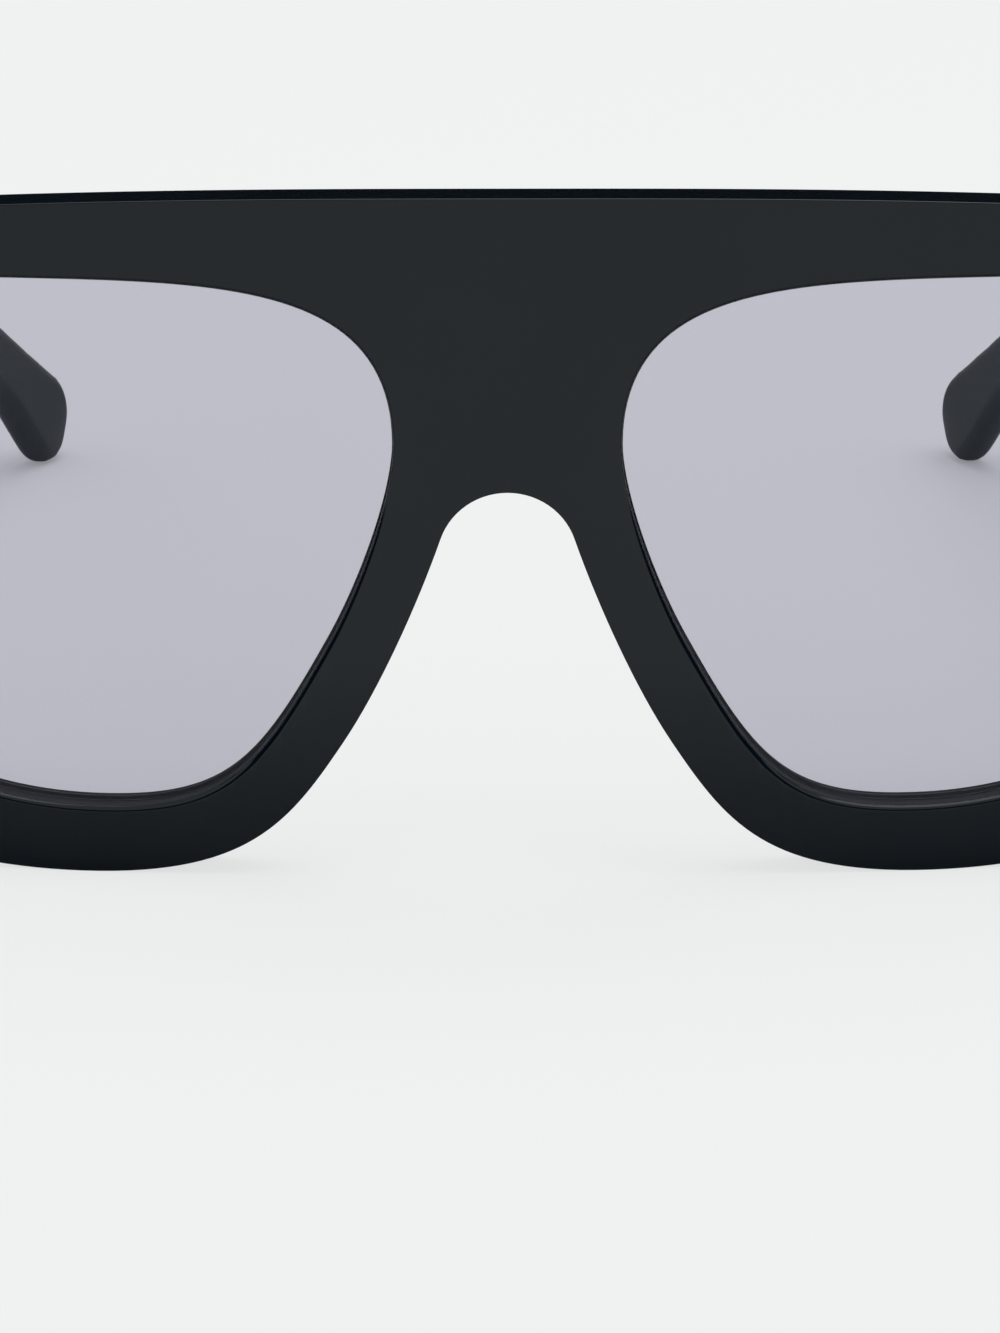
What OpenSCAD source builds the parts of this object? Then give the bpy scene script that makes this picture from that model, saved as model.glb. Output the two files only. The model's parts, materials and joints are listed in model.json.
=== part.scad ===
// Flat-top square sunglasses with folding temples.
// Millimetres. +Z is up, the front faces -Y and the temples run towards +Y.
// The glasses stand on the rims' lower edges and on the temple tips.
// The origin is on the ground, under the middle of the whole object.
// Left and right are the wearer's, so the left side is at +X.

/* [Front] */
// Overall width of the front
front_w = 146; // [136:1:156]
// Height of the front at its middle
front_h = 55.5; // [52:0.1:60]
// Fall of the brow line from the middle to each end
brow_drop = 3.6; // [2:0.1:5]
// Thickness of the front
front_t = 4.5; // [4.2:0.1:5]
// Radius of the front's wrap round the face
wrap_r = 350; // [300:10:500]
// Width of the bevel along the front's long edges
front_edge = 0.25; // [0.2:0.05:0.6]
// Rounding of the end pieces' upper corners
end_corner = 1.8; // [1.2:0.1:2]

/* [Lens openings] */
// Narrowest distance between the two openings
bridge_gap = 18; // [17:0.5:19]
// Width of the front from each opening to its end
end_w = 11; // [10:0.5:13]
// Height of the front above the openings, up to its middle
brow_rim = 6.7; // [6:0.1:8]
// Height of the rim under the opening
lower_rim = 5.5; // [5:0.1:6]
// Width of the rim beside the opening
side_rim = 5.2; // [4.6:0.1:5.4]

/* [Nose arch] */
// Height of the bridge above the arch
bridge_h = 23.35; // [22:0.05:26]
// Radius of the arch's round top
arch_r = 5.57; // [5:0.01:6]
// Length of each nose pad along the arch's flank
pad_len = 18; // [14:0.5:19]
// Width of each nose pad
pad_w = 3.8; // [3:0.1:4]
// Height of each nose pad behind the front
pad_h = 4.4; // [3:0.1:5]

/* [Lenses] */
// Thickness of each lens
lens_t = 2; // [1.8:0.1:2.2]
// Distance of the lens's face behind the front's face
lens_set = 0.95; // [0.8:0.05:1.4]
// Depth of the groove that holds the lens
groove_d = 0.8; // [0.6:0.05:0.9]
// Gap round the lens in its groove
lens_gap = 0.06; // [0.05:0.01:0.1]

/* [Temples] */
// Length of each temple from its hinge to its tip
temple_len = 139; // [134:1:146]
// Height of each temple where it meets the front
end_h = 12.4; // [11.6:0.2:13]
// Height of each temple at its slimmest
temple_h = 8.4; // [7:0.2:10]
// Height of each temple tip
tip_h = 12; // [10:0.5:13]
// Thickness of each temple at the hinge
temple_t = 4.2; // [4:0.1:4.6]
// Thickness of each temple at the tip
tip_t = 3.8; // [3.4:0.1:4.2]
// Rounding of the temples' long edges
temple_edge = 1.6; // [1:0.1:1.8]
// Distance from the hinge to the start of the ear bend
bend_at = 74; // [70:1:80]
// Length over which the ear bend turns
bend_len = 20; // [16:1:26]
// Angle of the ear bend
ear_bend = 25; // [22:1:28]
// Radius at which the temples close in behind the head
bow_r = 335; // [320:5:500]
// Gap between the temple and the front when it is open
butt_gap = 0.15; // [0.1:0.05:0.3]

/* [Core wires] */
// Diameter of the wire inside each temple
wire_d = 1.4; // [1:0.1:1.6]
// Gap round the wire
wire_gap = 0.03; // [0.02:0.01:0.05]

/* [Hinges] */
// Outer diameter of the hinge barrels
barrel_d = 3.8; // [3.4:0.1:4]
// Height of one of the five barrels
barrel_h = 1.66; // [1.5:0.02:1.8]
// Gap between neighbouring barrels
barrel_gap = 0.06; // [0.04:0.01:0.1]
// Diameter of the hinge screw
screw_d = 1.4; // [1.2:0.1:1.6]
// Diameter of the screw's head
screw_head_d = 2.5; // [2.2:0.1:2.7]
// Gap round the screw's shank
screw_gap = 0.04; // [0.02:0.01:0.08]
// Thickness of the hinge leaves
leaf_t = 1; // [0.8:0.05:1.2]
// Height of the leaf on the front
front_leaf_h = 14.6; // [14:0.2:15]
// Length of the leaf on the temple
temple_leaf_l = 13.4; // [12:0.2:16]
// Height of the leaf on the temple
temple_leaf_h = 6; // [5.6:0.2:6.4]
// Diameter of the rivets
rivet_d = 1.2; // [1:0.1:1.3]
// Diameter of the rivet heads
rivet_head_d = 2; // [1.8:0.1:2.2]

/* [Hidden] */

// Smoothness of large and small rounds
$fn = 48;
wrap_sides = 720;

// Room past a face for every cut, and for the fine cuts along edges
over = 1;
fine_over = 0.25;

// The front's two faces are cylinders round one upright axis
rear_r = wrap_r - front_t;
half_w = front_w / 2;
brow_power = 2.4;
lens_mid_r = wrap_r - lens_set - lens_t / 2;

// Small working gaps
glue_gap = 0.03;
leaf_gap = 0.05;
leaf_proud = 0.45;
front_leaf_proud = 0.25;

// Barrels, counted from the top
barrels = 5;
barrel_r = barrel_d / 2;
barrel_pitch = barrel_h + barrel_gap;
barrel_clear = 0.3;
web_half = barrel_r - 0.3;

// Hinge axis, from the front's own sizes
temple_inner = barrel_r + barrel_clear;
pivot_x = half_w - temple_t - temple_inner;
pivot_stand = barrel_r + 0.85;
pivot_y = sheet_y(pivot_x, rear_r) + pivot_stand;
pivot_z = brow_z(half_w) - end_h / 2;

// Curve tools

function unit(v) = v / norm(v);
function heading(a) = [cos(a), sin(a)];
function ease(t) = let (c = max(0, min(1, t))) c * c * (3 - 2 * c);
function turned(list) = [for (i = [len(list) - 1 : -1 : 0]) list[i]];
function mirrored(list) = [for (p = list) [-p[0], p[1]]];

// Cubic curve from point a, leaving along heading aa, to point b, arriving along bb
function curve(a, aa, ha, b, bb, hb, n) = [
    for (i = [0 : n - 1])
        let (t = i / n, u = 1 - t, c = a + ha * heading(aa), d = b - hb * heading(bb))
            u * u * u * a + 3 * u * u * t * c + 3 * u * t * t * d + t * t * t * b
];

// Outward normal at each point of a clockwise closed outline
function normals(outline) = let (n = len(outline)) [
    for (i = [0 : n - 1])
        let (d = unit(outline[(i + 1) % n] - outline[(i + n - 1) % n])) [-d[1], d[0]]
];

// A closed outline moved outwards by a distance
function grown(outline, by) = let (q = normals(outline)) [
    for (i = [0 : len(outline) - 1]) outline[i] + by * q[i]
];

// Depth of a wrapped face of radius r at the distance x from the middle
function sheet_y(x, r) = wrap_r - sqrt(r * r - x * x);

// Height of the brow line at the distance x from the middle
function brow_z(x) = front_h - brow_drop * pow(x / half_w, brow_power);

// The openings' size, and its scale to the 53 by 43.4 at which the curves are drawn
open_in = bridge_gap / 2;
open_out = half_w - end_w;
open_low = lower_rim;
open_top = front_h - brow_rim;
wide = (open_out - open_in) / 53;
tall = (open_top - open_low) / 43.4;

// Outline of the left lens opening, clockwise from its point nearest the nose

nose_side = [open_in, open_top - 12.7 * tall];
flank_turn = nose_side + [4.5 * wide, -15.6 * tall];
top_point = [open_in + 26.6 * wide, open_top];
outer_side = [open_out, open_top - 12.4 * tall];
low_point = [open_in + 25.2 * wide, open_low];

opening = concat(
    curve(nose_side, 90, 9.7 * tall, top_point, 0, 18.5 * wide, 18),
    curve(top_point, 0, 20 * wide, outer_side, -90, 9.5 * tall, 18),
    curve(outer_side, -90, 22 * tall, low_point, 180, 21 * wide, 24),
    curve(low_point, 180, 12.9 * wide, flank_turn, 118, 11.2 * tall, 16),
    curve(flank_turn, 118, 5.3 * tall, nose_side, 90, 4.4 * tall, 8)
);

// Outline of the whole front, clockwise from the middle of the brow

end_top = brow_z(half_w) - end_corner;
end_low = pivot_z - end_h / 2;
end_lean = 0.3;
rim_side = [open_out + side_rim, end_low - 13 * tall];
rim_low = [low_point[0] + 0.4, 0];
arch_top = front_h - bridge_h;
arch_centre = [0, arch_top - arch_r];
arch_turn = 19;
arch_join = arch_centre + arch_r * heading(arch_turn);
arch_flank = [arch_join[0] + 7.9 * wide, 0.4041 * arch_join[1]];
brow_end = half_w - end_corner;
brow_slope = atan(brow_power * brow_drop / half_w * pow(brow_end / half_w, brow_power - 1));

left_half = concat(
    [for (i = [0 : 15]) let (x = brow_end * i / 16) [x, brow_z(x)]],
    curve([brow_end, brow_z(brow_end)], -brow_slope, 0.55 * end_corner,
          [half_w, end_top], -90, 0.55 * end_corner, 4),
    curve([half_w, end_top], -90, 4, [half_w - end_lean, end_low], -94, 4, 4),
    curve([half_w - end_lean, end_low], -94, 5 * tall, rim_side, -90, 7 * tall, 12),
    curve(rim_side, -90, 13 * tall, rim_low, 180, 24 * wide, 24),
    curve(rim_low, 180, 13.6 * wide, arch_flank, 123, 8.3 * tall, 14),
    curve(arch_flank, 123, 5.3 * tall, arch_join, 90 + arch_turn, 5.8 * tall, 8),
    [for (a = [arch_turn : 71 / 6 : 89]) arch_centre + arch_r * heading(a)]
);
front_outline = concat(
    left_half,
    [[0, arch_top]],
    mirrored(turned([for (i = [1 : len(left_half) - 1]) left_half[i]]))
);

// Solids swept along outlines

// A point u beyond an outline point and v off a wrapped face of radius r
function on_sheet(p, q, r, u, v) =
    let (a = asin(p[0] / r), along = [cos(a), sin(a), 0], off = [sin(a), -cos(a), 0])
        [p[0], sheet_y(p[0], r), p[1]] + u * (q[0] * along + [0, 0, q[1]]) + v * off;

// A section carried once round a closed outline: it runs clockwise as the sweep travels
module ring_sweep(outline, r, section) {
    n = len(outline);
    m = len(section);
    q = normals(outline);
    points = [for (i = [0 : n - 1]) for (s = section) on_sheet(outline[i], q[i], r, s[0], s[1])];
    faces = [for (i = [0 : n - 1]) for (j = [0 : m - 1])
        let (k = (i + 1) % n, l = (j + 1) % m)
            each [[i * m + j, i * m + l, k * m + l], [i * m + j, k * m + l, k * m + j]]];
    polyhedron(points, faces, convexity = 8);
}

// Cutter that bevels an edge: out is 1 round a solid and -1 round a hole,
// and back is 1 on the front face and -1 on the rear face
module bevel_cut(outline, r, width, out, back) {
    o = fine_over;
    corner = [[-width - o, o], [o, o], [o, -width - o]];
    section = [for (s = corner) [out * s[0], back * s[1]]];
    ring_sweep(outline, r, out * back > 0 ? section : turned(section));
}

// A solid through a row of closed rings, which run clockwise as the loft travels
module loft(rings) {
    n = len(rings);
    m = len(rings[0]);
    sides = [for (i = [0 : n - 2]) for (j = [0 : m - 1])
        let (l = (j + 1) % m, a = i * m, b = a + m)
            each [[a + j, a + l, b + l], [a + j, b + l, b + j]]];
    caps = [[for (j = [m - 1 : -1 : 0]) j], [for (j = [0 : m - 1]) (n - 1) * m + j]];
    polyhedron([for (ring = rings) each ring], concat(sides, caps), convexity = 8);
}

// A flat outline made solid along Y
module upright(outline, y_low, y_high) {
    translate([0, y_high, 0]) rotate([90, 0, 0])
        linear_extrude(height = y_high - y_low) polygon(outline);
}

// Everything in front of, or within, a wrapped face of radius r
module wrap(r) {
    translate([0, wrap_r, -over])
        cylinder(r = r, h = front_h + 2 * over, $fn = wrap_sides);
}

module wrapped(outline, r_out, r_in) {
    intersection() {
        upright(outline, -over, 4 * front_t);
        difference() {
            wrap(r_out);
            wrap(r_in);
        }
    }
}

// The temple's line, in the hinge's own axes: X outwards, Y back, Z along the screw

tip_round = tip_h / 2;
body_steps = 36;
tip_steps = 7;
bow_from = 25;
step_at = concat(
    [for (i = [0 : body_steps]) (temple_len - tip_round) * i / body_steps],
    [for (i = [1 : tip_steps]) temple_len - tip_round + tip_round * sin(80 * i / tip_steps)]
);

function yaw(s) = max(0, s - bow_from) / bow_r * 180 / PI;
function pitch(s) = ear_bend * ease((s - bend_at) / bend_len);
function run(s) = [-sin(yaw(s)) * cos(pitch(s)), cos(yaw(s)) * cos(pitch(s)), -sin(pitch(s))];
function across(s) = [cos(yaw(s)), sin(yaw(s)), 0];
function rise(s) = cross(across(s), run(s));

// Points along the line at the given distances
function line_points(at) = [
    for (i = 0, p = [temple_inner + temple_t / 2, butt_gap / 2 + at[0], 0];
         i < len(at);
         p = p + (i + 1 < len(at) ? (at[i + 1] - at[i]) * run((at[i] + at[i + 1]) / 2) : [0, 0, 0]),
         i = i + 1) p
];

// Upper edge, lower edge and thickness of the temple along its line
slim_at = 46;
tip_from = 98;
function tip_scale(s) =
    let (t = (s - temple_len + tip_round) / tip_round) t <= 0 ? 1 : sqrt(1 - t * t);
function body_h(s) = s < slim_at
    ? end_h + (temple_h - end_h) * ease(s / slim_at)
    : temple_h + (tip_h - temple_h) * ease((s - slim_at) / (tip_from + 20 - slim_at));
function body_t(s) = temple_t + (tip_t - temple_t) * ease(s / tip_from);

// Rounded rectangle of half width a and half height b, as points
function round_box(a, b, r) = [
    for (c = [[1, 1, 0], [-1, 1, 90], [-1, -1, 180], [1, -1, 270]])
        for (k = [0 : 3])
            [c[0] * (a - r), c[1] * (b - r)] + r * heading(c[2] + 30 * k)
];

temple_line = line_points(step_at);
temple_rings = [
    for (i = [0 : len(step_at) - 1])
        let (s = step_at[i],
             k = tip_scale(s),
             a = body_t(s) / 2 * (0.7 + 0.3 * k),
             b = body_h(s) / 2 * k,
             r = min(temple_edge, 0.9 * a, 0.9 * b))
            [for (q = round_box(a, b, r)) temple_line[i] + q[0] * across(s) + q[1] * rise(s)]
];

// Slope of the temples at which their tips just reach the ground
function tip_low(slope) = min([
    for (ring = temple_rings) for (p = ring) p[2] * cos(slope) - p[1] * sin(slope)]);
function find_slope(low, high, turns) =
    let (mid = (low + high) / 2)
        turns == 0 ? mid
        : pivot_z + tip_low(mid) > 0 ? find_slope(mid, high, turns - 1)
        : find_slope(low, mid, turns - 1);
temple_slope = find_slope(0, 25, 30);

// Depth of the whole object, and the shift that centres it on the origin
depth = pivot_y + max([
    for (ring = temple_rings) for (p = ring) p[1] * cos(temple_slope) + p[2] * sin(temple_slope)]);

module centred() {
    translate([0, -depth / 2, 0]) children();
}

// Places things drawn in the hinge's axes
module at_hinge() {
    translate([pivot_x, pivot_y, pivot_z]) rotate([-temple_slope, 0, 0]) children();
}

// Places things drawn upwards so that they stand off the rear face at x, z
module at_rear(x, z) {
    translate([x, sheet_y(x, rear_r), z])
        rotate([0, 0, asin(x / rear_r)]) rotate([-90, 0, 0]) children();
}

// Shapes that both halves of a fit take their size from

front_leaf_in = 2.2;
front_leaf_sunk = leaf_t - front_leaf_proud;
front_rivet_z = front_leaf_h / 2 - 1.4;
front_rivet_x = pivot_x - 0.2;
rivet_head_h = 0.35;
front_rivet_l = 2.6;

// Outline of the leaf on the front, with room g round it
function front_leaf_outline(g) = [
    for (q = round_box((front_leaf_in + barrel_r) / 2 + g, front_leaf_h / 2 + g, 1))
        [pivot_x + (barrel_r - front_leaf_in) / 2 + q[0], pivot_z + q[1]]
];

temple_leaf_from = 1.3;
temple_leaf_x = temple_inner - leaf_proud;
temple_leaf_sunk = leaf_t - leaf_proud;

// Leaf on the temple, with room g round it
module temple_leaf(g) {
    nose = temple_leaf_h / 2;
    rotate([90, 0, 90]) translate([0, 0, temple_leaf_x - g])
        linear_extrude(height = leaf_t + 2 * g) union() {
            translate([temple_leaf_from - g, -nose - g])
                square([temple_leaf_l - nose + g, temple_leaf_h + 2 * g]);
            translate([temple_leaf_from + temple_leaf_l - nose, 0]) circle(r = nose + g);
        }
}

// Two rivets at the given places, heads at zero and shanks downwards
module rivet(length) {
    translate([0, 0, -length]) cylinder(d = rivet_d, h = length + over / 4);
    cylinder(d = rivet_head_d, h = rivet_head_h);
}

module rivet_bore(length) {
    translate([0, 0, -length - 0.1]) cylinder(d = rivet_d + 2 * glue_gap, h = length + leaf_t + over);
}

module at_front_rivets() {
    for (side = [-1, 1])
        at_rear(front_rivet_x, pivot_z + side * front_rivet_z)
            translate([0, 0, front_leaf_proud + 0.02]) children();
}

temple_rivet_l = 3.1;
module at_temple_rivets() {
    for (place = [[5, 1.75], [10.6, -1.75]])
        translate([temple_leaf_x - 0.02, place[0], place[1]]) rotate([0, -90, 0]) children();
}

// Barrels first, first + 2 and so on, seen along the screw, each a round with a web
module barrel_row(first, web_from, web_size) {
    for (i = [first : 2 : barrels - 1])
        translate([0, 0, (barrels / 2 - 1 - i) * barrel_pitch + barrel_gap / 2])
            linear_extrude(height = barrel_h) union() {
                circle(r = barrel_r);
                translate(web_from) square(web_size);
            }
}

barrel_top = barrels / 2 * barrel_pitch - barrel_gap / 2;
head_sunk = 0.7;
head_h = 1;

module screw_bore() {
    translate([0, 0, -barrel_top - over])
        cylinder(r = screw_d / 2 + screw_gap, h = 2 * (barrel_top + over));
    translate([0, 0, barrel_top - head_sunk])
        cylinder(r = screw_head_d / 2 + screw_gap, h = head_sunk + over);
}

// Sub-parts, each drawn on the left side

module front_body() {
    block_from = sheet_y(half_w, rear_r) - front_t / 2;
    mouth = groove_d + fine_over;
    groove = [[groove_d, 0], [-fine_over, -mouth], [-fine_over, mouth]];
    difference() {
        union() {
            difference() {
                wrapped(front_outline, wrap_r, rear_r);
                bevel_cut(front_outline, wrap_r, front_edge, 1, 1);
                bevel_cut(front_outline, rear_r, front_edge, 1, -1);
            }
            for (side = [0, 1]) mirror([side, 0, 0]) intersection() {
                upright(front_outline, block_from, pivot_y + 2 * front_t);
                at_hinge() translate([temple_inner, -20 - butt_gap / 2, -20]) cube([20, 20, 40]);
            }
        }
        for (side = [0, 1]) mirror([side, 0, 0]) {
            upright(opening, -over, 4 * front_t);
            bevel_cut(opening, wrap_r, front_edge, -1, 1);
            bevel_cut(opening, rear_r, front_edge, -1, -1);
            ring_sweep(opening, lens_mid_r, groove);
            wrapped(front_leaf_outline(leaf_gap), rear_r + front_leaf_sunk + leaf_gap, rear_r - 3 * over);
            at_front_rivets() rivet_bore(front_rivet_l);
        }
    }
}

// The lens fills the opening, and its V edge keeps its gap from the groove's flanks
// and ends in a narrow land
module lens() {
    half_t = lens_t / 2;
    tip = groove_d - lens_gap * sqrt(2);
    land = 0.05;
    foot = tip + lens_gap;
    past = foot + fine_over;
    outside = [[tip - land, land], [tip - past, past], [2 * past, past],
               [2 * past, -past], [tip - past, -past], [tip - land, -land]];
    difference() {
        wrapped(grown(opening, groove_d), lens_mid_r + foot, lens_mid_r - foot);
        ring_sweep(opening, lens_mid_r, outside);
    }
    wrapped(grown(opening, -lens_gap), lens_mid_r + half_t, lens_mid_r - half_t);
}

// Middle line of the pad between the arch's flank and the opening
pad_top = [8.1, arch_top - 4.2];
pad_fall = 61;
pad_line = curve(pad_top, -pad_fall - 12, pad_len / 3, pad_top + pad_len * heading(-pad_fall),
                 -pad_fall + 5, pad_len / 3, 14);

module nose_pad() {
    n = len(pad_line);
    rings = [
        for (i = [1 : n - 1])
            let (p = pad_line[i],
                 d = unit(pad_line[min(i + 1, n - 1)] - pad_line[i - 1]),
                 q = [-d[1], d[0]],
                 full = pow(sin(180 * i / n), 0.6),
                 w = pad_w / 2 * full,
                 h = pad_h * full * (0.75 + 0.25 * i / n))
                [for (a = [0 : 30 : 180]) on_sheet(p, q, rear_r, w * cos(a), -h * sin(a)),
                 on_sheet(p, q, rear_r, -w, over), on_sheet(p, q, rear_r, w, over)]
    ];
    intersection() {
        loft(rings);
        wrap(rear_r - glue_gap);
    }
}

module end_hinge() {
    difference() {
        union() {
            wrapped(front_leaf_outline(0), rear_r + front_leaf_sunk, rear_r - front_leaf_proud);
            intersection() {
                at_hinge() barrel_row(0, [-web_half, -2 * pivot_stand], [2 * web_half, 2 * pivot_stand]);
                wrap(rear_r + front_leaf_sunk);
            }
        }
        at_hinge() screw_bore();
        at_front_rivets() rivet_bore(front_rivet_l);
    }
}

module temple_hinge() {
    difference() {
        union() {
            temple_leaf(0);
            barrel_row(1, [0.3, 0.2], [temple_inner - 0.4, 3]);
        }
        screw_bore();
        at_temple_rivets() rivet_bore(temple_rivet_l);
    }
}

module hinge_screw() {
    translate([0, 0, -barrel_top]) cylinder(d = screw_d, h = 2 * barrel_top - head_sunk / 2);
    translate([0, 0, barrel_top - head_sunk + 0.02]) cylinder(d = screw_head_d, h = head_h);
}

// The wire's line stays on the temple's own line
wire_from = 4;
wire_to = temple_len - 10;
wire_steps = 30;
wire_at = [for (i = [0 : wire_steps]) wire_from + (wire_to - wire_from) * i / wire_steps];

module wire(d, longer) {
    at = concat([wire_from - longer], wire_at, [wire_to + longer]);
    line = line_points(at);
    loft([for (i = [0 : len(at) - 1])
        [for (a = [22.5 : 45 : 359])
            line[i] + d / 2 * (cos(a) * across(at[i]) + sin(a) * rise(at[i]))]]);
}

module temple() {
    difference() {
        loft(temple_rings);
        temple_leaf(leaf_gap);
        at_temple_rivets() rivet_bore(temple_rivet_l);
        wire(wire_d + 2 * wire_gap, 0.2);
    }
}

// Which side a node is on
module left() {
    centred() children();
}

module right() {
    centred() mirror([1, 0, 0]) children();
}

module frame_front() { color([0.09, 0.1, 0.11]) centred() front_body(); }
module left_lens() { color([0.45, 0.44, 0.5, 0.6]) left() lens(); }
module right_lens() { color([0.45, 0.44, 0.5, 0.6]) right() lens(); }
module left_nose_pad() { color([0.12, 0.13, 0.14]) left() nose_pad(); }
module right_nose_pad() { color([0.12, 0.13, 0.14]) right() nose_pad(); }
module left_end_hinge() { color("silver") left() end_hinge(); }
module right_end_hinge() { color("silver") right() end_hinge(); }
module left_hinge_screw() { color("gainsboro") left() at_hinge() hinge_screw(); }
module right_hinge_screw() { color("gainsboro") right() at_hinge() hinge_screw(); }
module left_front_rivets() { color("gray") left() at_front_rivets() rivet(front_rivet_l); }
module right_front_rivets() { color("gray") right() at_front_rivets() rivet(front_rivet_l); }
module left_temple() { color([0.08, 0.09, 0.1]) left() at_hinge() temple(); }
module right_temple() { color([0.08, 0.09, 0.1]) right() at_hinge() temple(); }
module left_temple_hinge() { color("silver") left() at_hinge() temple_hinge(); }
module right_temple_hinge() { color("silver") right() at_hinge() temple_hinge(); }
module left_temple_rivets() { color("gray") left() at_hinge() at_temple_rivets() rivet(temple_rivet_l); }
module right_temple_rivets() { color("gray") right() at_hinge() at_temple_rivets() rivet(temple_rivet_l); }
module left_core_wire() { color("gainsboro") left() at_hinge() wire(wire_d, 0); }
module right_core_wire() { color("gainsboro") right() at_hinge() wire(wire_d, 0); }

frame_front();
left_lens();
right_lens();
left_nose_pad();
right_nose_pad();
left_end_hinge();
right_end_hinge();
left_hinge_screw();
right_hinge_screw();
left_front_rivets();
right_front_rivets();
left_temple();
right_temple();
left_temple_hinge();
right_temple_hinge();
left_temple_rivets();
right_temple_rivets();
left_core_wire();
right_core_wire();
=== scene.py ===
"""Square sunglasses: finishes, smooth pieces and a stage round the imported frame.

Lengths are in metres, in the frame's own axes: +Z up, the front faces -Y, and the
wearer's left side is at +X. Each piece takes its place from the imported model.
"""
import json
import math

import bmesh
import bpy
from mathutils import Matrix, Vector
from mathutils.geometry import interpolate_bezier


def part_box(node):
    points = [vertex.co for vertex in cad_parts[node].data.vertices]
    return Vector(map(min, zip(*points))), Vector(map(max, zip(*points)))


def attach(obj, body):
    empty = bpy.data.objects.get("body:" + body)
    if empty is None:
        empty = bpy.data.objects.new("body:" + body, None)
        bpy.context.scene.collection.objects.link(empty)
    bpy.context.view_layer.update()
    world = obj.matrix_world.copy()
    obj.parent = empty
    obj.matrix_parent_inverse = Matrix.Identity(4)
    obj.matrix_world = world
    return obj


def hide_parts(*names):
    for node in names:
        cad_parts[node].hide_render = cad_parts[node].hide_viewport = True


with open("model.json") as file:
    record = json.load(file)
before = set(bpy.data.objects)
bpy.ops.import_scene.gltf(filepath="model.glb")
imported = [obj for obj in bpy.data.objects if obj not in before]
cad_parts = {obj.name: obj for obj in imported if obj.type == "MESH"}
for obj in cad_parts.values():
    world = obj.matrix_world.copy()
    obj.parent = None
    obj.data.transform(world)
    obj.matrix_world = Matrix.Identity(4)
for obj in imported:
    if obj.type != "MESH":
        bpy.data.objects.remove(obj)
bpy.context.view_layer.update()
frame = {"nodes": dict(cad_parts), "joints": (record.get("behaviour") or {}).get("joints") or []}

bl_info = {
    "name": "Square Sunglasses",
    "version": (1, 0, 0),
    "blender": (4, 5, 0),
    "location": "3D View > Sidebar > Sunglasses",
    "description": "Builds glossy flat-top sunglasses round a packed frame",
    "category": "Add Mesh",
}

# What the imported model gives

MM = 0.001
LEFT_FOLD = next(joint for joint in frame["joints"] if joint["name"] == "left_fold")
PIVOT = Vector(LEFT_FOLD["pos_m"])
TEMPLE_SLOPE = math.asin(LEFT_FOLD["axis"][1])
FRONT_LOW, FRONT_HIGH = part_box("frame_front")
FRONT_Y = FRONT_LOW.y
SIDES = {"left": 1, "right": -1}

# Points closer together than this count as one
TINY = 1e-7

# The outlines are drawn in millimetres round an opening of this size, then stretched
DRAWN_WIDE = 53
DRAWN_TALL = 43.4

# A higher power holds the brow flat for longer, and makes the temples' tips squarer
BROW_POWER = 2.4
TIP_POWER = 2.6

# The handles of a curve that turns a quarter, as a share of its radius
QUARTER = 0.55


# Sizes and colours that a user may change

def length(name, description, default):
    """A size in metres, shown in the scene's own unit."""
    return bpy.props.FloatProperty(
        name=name, description=description, default=default, min=0.0, unit="LENGTH", precision=5)


def colour(name, description, default):
    """A linear colour."""
    return bpy.props.FloatVectorProperty(
        name=name, description=description, default=default, size=4, min=0.0, max=1.0,
        subtype="COLOR")


class FrontSizes(bpy.types.PropertyGroup):
    """Sizes of the milled front, its lenses and its nose pads."""
    width: length("Width", "Overall width of the front", FRONT_HIGH.x - FRONT_LOW.x)
    height: length("Height", "Height of the front at its middle", FRONT_HIGH.z)
    thickness: length("Thickness", "Thickness of the front", 4.5 * MM)
    wrap: length("Wrap radius", "Radius of the front's outer face", 350 * MM)
    edge: length("Edge", "Round along the front's outer edges", 0.09 * MM)
    lip: length("Lip", "Round along the edges of the lens openings", 0.5 * MM)
    brow_drop: length("Brow drop", "Fall of the brow line to each end", 3.6 * MM)
    corner: length("End corner", "Round of the ends' upper corners", 1.8 * MM)
    bridge: length("Bridge", "Narrowest distance between the openings", 18 * MM)
    end: length("End width", "Width of the front beside each opening", 11 * MM)
    brow_rim: length("Brow rim", "Height of the front above the openings", 6.62 * MM)
    lower_rim: length("Lower rim", "Height of the rim under each opening", 5.6 * MM)
    side_rim: length("Side rim", "Width of the rim beside each opening", 5.2 * MM)
    bridge_height: length("Bridge height", "Height of the bridge above the arch", 23.26 * MM)
    arch_radius: length("Arch radius", "Radius of the nose arch's round top", 5.57 * MM)
    lens_thickness: length("Lens thickness", "Thickness of each lens", 2 * MM)
    lens_depth: length("Lens depth", "From the front's face to the lens's face", 1.45 * MM)
    groove: length("Groove", "Depth of the groove that holds each lens", 0.8 * MM)
    lens_gap: length("Lens gap", "Gap round each lens in its groove", 0.06 * MM)
    pad_length: length("Pad length", "Length of each nose pad along the arch's flank", 18 * MM)
    pad_width: length("Pad width", "Width of each nose pad", 3.8 * MM)
    pad_height: length("Pad height", "Height of each nose pad behind the front", 4.4 * MM)


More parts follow.
